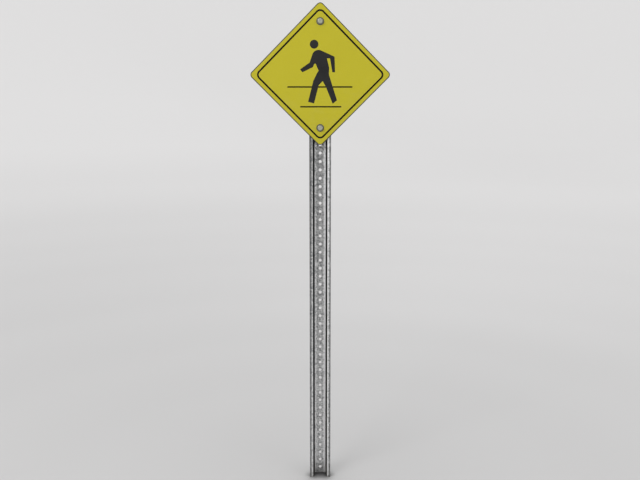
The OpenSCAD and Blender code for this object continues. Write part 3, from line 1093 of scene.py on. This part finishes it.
def hex_side(shell, hexagon, height, chamfer_bottom):
    """Rings up the side of a hexagon: plain edge or chamfer, flats, chamfer."""
    round_r = HEX_R * 0.96  # where the 30 degree chamfer starts

    def drop(r):
        return (r - round_r) * math.tan(math.radians(30))

    def shoulder(rho):
        return max(round_r + 0.1, rho - 0.16)

    # (radius, distance from the end face) for the hexagon's radius rho, outwards
    chamfer = [
        lambda rho: (round_r - 0.25, 0.0),
        lambda rho: (round_r - 0.02, 0.02),
        lambda rho: (shoulder(rho), drop(shoulder(rho)) + 0.02),
        lambda rho: (rho - 0.02, drop(rho) + 0.06),
        lambda rho: (rho, drop(rho) + 0.30),
    ]
    plain = [
        lambda rho: (rho - 0.22, 0.0),
        lambda rho: (rho - 0.06, 0.07),
        lambda rho: (rho, 0.24),
    ]

    def ring(step, base, way):
        points = []
        for a, rho in hexagon:
            r, depth = step(rho)
            points.append((r * math.cos(a), r * math.sin(a), base + way * depth))
        return shell.add(points)

    rings = [ring(step, 0.0, 1) for step in (chamfer if chamfer_bottom else plain)]
    rings.append(ring(lambda rho: (rho, 0.0), height / 2, 1))
    return rings + [ring(step, height, -1) for step in reversed(chamfer)]


def add_thread(shell, hexagon, y0, z_lo, z_hi, radius):
    """Rows that climb with the helix, clamped between z_lo and z_hi above the plane y0."""
    base = math.floor((y0 + z_lo) / THREAD_PITCH) - 1
    climb = int((z_hi - z_lo) / THREAD_PITCH * ROWS_PER_PITCH)
    rows = []
    for j in range(climb + 3 * ROWS_PER_PITCH + 2):
        points = []
        for angle, _ in hexagon:
            a = angle % TAU
            y = (base + j / ROWS_PER_PITCH + a / TAU) * THREAD_PITCH
            z = max(z_lo, min(z_hi, y - y0))
            r = radius(z, a)
            points.append((r * math.cos(a), r * math.sin(a), z))
        rows.append(shell.add(points))
    order = sorted(range(len(hexagon)), key=lambda i: hexagon[i][0] % TAU)
    last, first = order[-1], order[0]
    for j in range(len(rows) - 1):
        a, b = rows[j], rows[j + 1]
        for i, k in zip(order, order[1:]):
            shell.face((a[i], a[k], b[k], b[i]))
        if j + ROWS_PER_PITCH + 1 < len(rows):
            # crossing the seam the helix has climbed one pitch
            a2, b2 = rows[j + ROWS_PER_PITCH], rows[j + ROWS_PER_PITCH + 1]
            shell.face((a[last], a2[first], b2[first], b[last]))


def build_bolt(which, turn):
    lo, hi = box_mm(which + "_bolt")
    washer_lo, _ = box_mm(which + "_head_washer")
    bearing = washer_lo.y
    head_h = bearing - lo.y
    length = hi.y - bearing
    thread_start = length - THREAD_LENGTH
    hexagon = hex_ring(turn)
    shell = Shell()

    # head with a slightly dished top, turned over to stand in front of its bearing face
    rings = hex_side(shell, hexagon, head_h, chamfer_bottom=False)
    for share, dish in ((0.80, 0.03), (0.62, 0.10), (0.40, 0.14), (0.18, 0.15)):
        rings.append(ring_at(shell, hexagon, HEX_R * share, head_h - dish))
    shell.bands(rings)
    shell.fan(rings[-1], shell.add([(0, 0, head_h - 0.15)])[0])
    shell.verts = [(x, y, -z) for x, y, z in shell.verts]

    # bearing face, fillet under the head, plain shank: (radius, z)
    shank = [rings[0]] + [ring_at(shell, hexagon, r, z) for r, z in (
        (HEX_R * 0.86, 0.0), (SHANK_R + 0.25, 0.0), (SHANK_R + 0.07, 0.07),
        (SHANK_R, 0.25), (SHANK_R, 14.0),
        (SHANK_R, thread_start - 0.6), (SHANK_R - 0.01, thread_start - 0.2),
    )]
    shell.bands(shank)

    tip_r = THREAD_R - 0.95
    run_in = 1.6 * THREAD_PITCH

    def radius(z, a):
        fade = max(0.0, min(1.0, (z - thread_start) / run_in))
        cut = THREAD_DEPTH * thread_depth(bearing + z, a) * fade * (2 - fade)
        return min(THREAD_R - cut, tip_r + (length - z))

    add_thread(shell, hexagon, bearing, thread_start, length, radius)
    shell.band(shank[-1], ring_at(shell, hexagon, THREAD_R, thread_start))
    tip = [ring_at(shell, hexagon, r, length) for r in (tip_r, THREAD_R - 1.15, 1.2)]
    shell.bands(tip)
    shell.fan(tip[-1], shell.add([(0, 0, length)])[0])
    across(shell, bearing, BOLTS[which])
    finish_piece(which + "_hex_bolt", shell, MAT_ZINC[which], which + "_bolt",
                 merge=3e-6, sharp=50)


def build_nut(which, turn):
    node = which + "_nut"
    lo, hi = box_mm(node)
    height = hi.y - lo.y
    hexagon = hex_ring(turn)
    shell = Shell()
    rings = hex_side(shell, hexagon, height, chamfer_bottom=True)
    shell.bands(rings)
    clearance = 0.09
    minor_r = THREAD_R - 0.60
    sink_r = THREAD_R + 0.42  # countersink at both faces

    def radius(z, a):
        cut = THREAD_DEPTH * thread_depth(lo.y + z, a)
        r = min(THREAD_R + clearance, max(minor_r, THREAD_R - cut + clearance))
        return max(r, sink_r - z, sink_r - (height - z))

    add_thread(shell, hexagon, lo.y, 0.0, height, radius)
    bottom = ring_at(shell, hexagon, sink_r, 0.0)
    top = ring_at(shell, hexagon, sink_r, height)
    shell.band(bottom, rings[0])
    shell.band(rings[-1], top)
    across(shell, lo.y, BOLTS[which])
    finish_piece(which + "_hex_nut", shell, MAT_ZINC[which], node,
                 body=node, merge=3e-6, sharp=50)


def build_washer(name, which, node, inner, outer, rounds, material):
    """A flat ring; rounds are its edge radii: front inner, front outer, rear outer, rear inner."""
    lo, hi = box_mm(node)
    t = hi.y - lo.y
    corners = ((inner / 2, 0), (outer / 2, 0), (outer / 2, t), (inner / 2, t))
    profile = rounded_profile([(r, z, edge) for (r, z), edge in zip(corners, rounds)], 4)
    shell = Shell()
    rings = []
    for k in range(96):
        a = TAU * k / 96
        rings.append(shell.add([(r * math.cos(a), r * math.sin(a), z) for r, z in profile]))
    shell.bands(rings + rings[:1])
    across(shell, lo.y, BOLTS[which])
    finish_piece(name, shell, material, node)


def build_lock_washer(which, turn):
    """A split ring whose ends lean 28 degrees across the gap."""
    node = which + "_lock_washer"
    lo, hi = box_mm(node)
    t = hi.y - lo.y
    inner_r, outer_r = 8.15 / 2, 14.8 / 2
    edge_r = 0.3
    profile = rounded_profile([
        (inner_r, 0, edge_r), (outer_r, 0, edge_r), (outer_r, t, edge_r), (inner_r, t, edge_r),
    ], 3)
    gap_at = math.radians(-35 + turn)
    lean_angle = math.radians(28)
    half_gap = 0.55 / math.cos(lean_angle)
    end_shrink, end_pad = 0.14, 0.12  # small bevel at the two ends
    steps = 84
    middle_r = (inner_r + outer_r) / 2
    shell = Shell()
    rings = []
    for k in range(-1, steps + 2):
        points = []
        for r, z in profile:
            if k in (-1, steps + 1):
                to_middle, to_half = middle_r - r, t / 2 - z
                distance = math.hypot(to_middle, to_half)
                r += to_middle / distance * end_shrink
                z += to_half / distance * end_shrink
            lean = -(z - t / 2) * math.tan(lean_angle)
            start = gap_at + (half_gap + lean) / r
            end = gap_at + TAU + (-half_gap + lean) / r
            pad = end_pad / r
            if k == -1:
                a = start
            elif k == steps + 1:
                a = end
            else:
                a = start + pad + (end - start - 2 * pad) * k / steps
            points.append((r * math.cos(a), r * math.sin(a), z))
        rings.append(shell.add(points))
    shell.bands(rings)
    shell.face(rings[0])
    shell.face(rings[-1][::-1])
    across(shell, lo.y, BOLTS[which])
    finish_piece(which + "_spring_washer", shell, MAT_ZINC[which], node,
                 body=node, sharp=50)


STEEL_ROUNDS = (0.22, 0.5, 0.16, 0.1)
NYLON_ROUNDS = (0.3, 0.6, 0.3, 0.2)


def build_fasteners(which, bolt_turn, nut_turn, gap_turn):
    """One bolt with its nut and washers; the turns are in degrees."""
    build_bolt(which, bolt_turn)
    build_nut(which, nut_turn)
    build_lock_washer(which, gap_turn)
    # name, frame node, inner and outer diameter, edge radii, material, slot
    for name, node, inner, outer, rounds, material, slot in (
        ("_front_washer", "_head_washer", 8.73, 17.5, STEEL_ROUNDS, MAT_DULL_SHADED[which],
         "zinc_fastener"),
        ("_nylon_ring", "_nylon_washer", 8.33, 22.2, NYLON_ROUNDS, MAT_NYLON, "dark_nylon"),
        ("_rear_washer", "_back_washer", 8.73, 17.5, STEEL_ROUNDS, MAT_ZINC[which],
         "zinc_fastener"),
    ):
        build_washer(which + name, which, which + node, inner, outer, rounds, material)


build_fasteners("upper", bolt_turn=8, nut_turn=21, gap_turn=0)
build_fasteners("lower", bolt_turn=23, nut_turn=47, gap_turn=70)


# =====================================================================
# studio (metres): floor that sweeps up into a wall all round, lights, camera
# =====================================================================

FLAT_R = 2.3
SWEEP_R = 2.6
WALL_STEP = 0.9
STAGE_STEPS = 96

# painted light on the paper, a glow: (distance out plus distance up from the post's foot,
# strength)
GLOW = [
    (0.0, 0.190), (0.8, 0.226), (1.4, 0.252), (2.2, 0.291), (3.0, 0.316), (3.4, 0.335),
    (3.8, 0.357), (4.45, 0.409), (5.1, 0.449), (5.7, 0.460), (7.2, 0.470),
]
GLOW_REACH = 8.0


def studio_paper():
    m = Mat("studio_paper")
    x, y, z = m.split(m.metres)
    reach = length_of(x, y) + z
    glow = m.node("ShaderNodeValToRGB")
    glow.color_ramp.interpolation = "EASE"
    m.put(glow.inputs[0], reach / GLOW_REACH)
    while len(glow.color_ramp.elements) < len(GLOW):
        glow.color_ramp.elements.new(0.5)
    for element, (place, strength) in zip(glow.color_ramp.elements, GLOW):
        element.position = place / GLOW_REACH
        element.color = (strength, strength, strength, 1)
    # contact shadow, tight and wide
    tight, wide = (
        m.make("ShaderNodeAmbientOcclusion", {"Distance": distance}, output="AO", samples=samples)
        for distance, samples in ((0.031, 12), (0.12, 8)))
    shade = tight ** 1.45 * wide ** 0.42
    # little light reaches the bottom of the channel
    pocket = m.ramp(abs(x), (0.027, 0.017)) * m.ramp(y, (-0.046, -0.031))
    pocket = pocket * m.ramp(y, (0.0008, -0.0008))
    shade = shade * (1.0 - pocket * 0.30)
    paper = m.vec(shade * 0.360, shade * 0.358, shade * 0.358)
    diffuse = m.make("ShaderNodeBsdfDiffuse", {"Color": paper})
    emission = m.make("ShaderNodeEmission", {
        "Color": (1.0, 0.992, 0.990, 1),
        "Strength": m.red(Value(m, glow.outputs[0])) * shade,
    })
    both = m.make("ShaderNodeAddShader", {0: diffuse, 1: emission})
    m.put(m.out.inputs["Surface"], both)
    return m.material


def build_stage():
    # (radius, height) from beside the centre out and up
    profile = [(FLAT_R * k / 12, 0.0) for k in range(1, 13)]
    for k in range(1, 33):
        a = math.pi / 2 * k / 32
        profile.append((FLAT_R + SWEEP_R * math.sin(a), SWEEP_R * (1 - math.cos(a))))
    profile += [(FLAT_R + SWEEP_R, SWEEP_R + WALL_STEP * k) for k in range(1, 5)]
    shell = Shell()
    centre = shell.add([(0, 0, 0)])[0]
    rings = [
        shell.add([(x, y, z) for x, y in circle(0, 0, r, STAGE_STEPS)]) for r, z in profile
    ]
    for a, b in zip(rings[0], rings[0][1:] + rings[0][:1]):
        shell.face((centre, a, b))
    shell.bands(rings)
    mesh = bpy.data.meshes.new("studio_floor")
    mesh.from_pydata(shell.verts, [], shell.faces)
    mesh.shade_smooth()
    ob = bpy.data.objects.new("studio_floor", mesh)
    bpy.context.scene.collection.objects.link(ob)
    ob.location.z = cad_lo.z
    mesh.materials.append(studio_paper())


def soft_light(name, where, target, size, power, color=(1, 1, 1)):
    light = bpy.data.lights.new(name, "AREA")
    light.shape = "RECTANGLE"
    light.size, light.size_y = size
    light.energy = power
    light.color = color
    ob = bpy.data.objects.new(name, light)
    bpy.context.scene.collection.objects.link(ob)
    ob.location = where
    direction = Vector(target) - Vector(where)
    ob.rotation_euler = direction.to_track_quat("-Z", "Y").to_euler()
    ob.visible_camera = False


def build_world():
    world = bpy.data.worlds.new("studio_world")
    world.use_nodes = True
    background = world.node_tree.nodes["Background"]
    background.inputs["Color"].default_value = (0.93, 0.95, 0.97, 1)
    background.inputs["Strength"].default_value = 0.38
    bpy.context.scene.world = world


def build_camera():
    """Looks along +Y from in front of the sign, tipped 10.424 degrees down."""
    lens = bpy.data.cameras.new("camera")
    lens.sensor_width = 36.0
    lens.lens = 42.98
    camera = bpy.data.objects.new("camera", lens)
    bpy.context.scene.collection.objects.link(camera)
    camera.location = (-0.0005, -2.31425, 1.1958)
    camera.rotation_euler = (math.radians(90 - 10.424), 0, 0)
    bpy.context.scene.camera = camera


build_stage()
soft_light("key", where=(-2.0, -2.5, 3.0), target=(0, 0, 1.0), size=(1.8, 1.8), power=55.5,
           color=(1.0, 0.995, 0.985))
soft_light("fill", where=(2.3, -2.4, 1.9), target=(0, 0, 0.9), size=(1.6, 2.0), power=11.8,
           color=(0.98, 0.99, 1.0))
soft_light("top", where=(0.0, 0.3, 3.6), target=(0, 0, 0.0), size=(2.6, 2.6), power=28.5)
soft_light("rear", where=(1.2, 2.9, 2.6), target=(0, 0, 0.9), size=(1.8, 1.8), power=28.5)
build_world()
build_camera()
bpy.context.scene.view_settings.view_transform = "Standard"
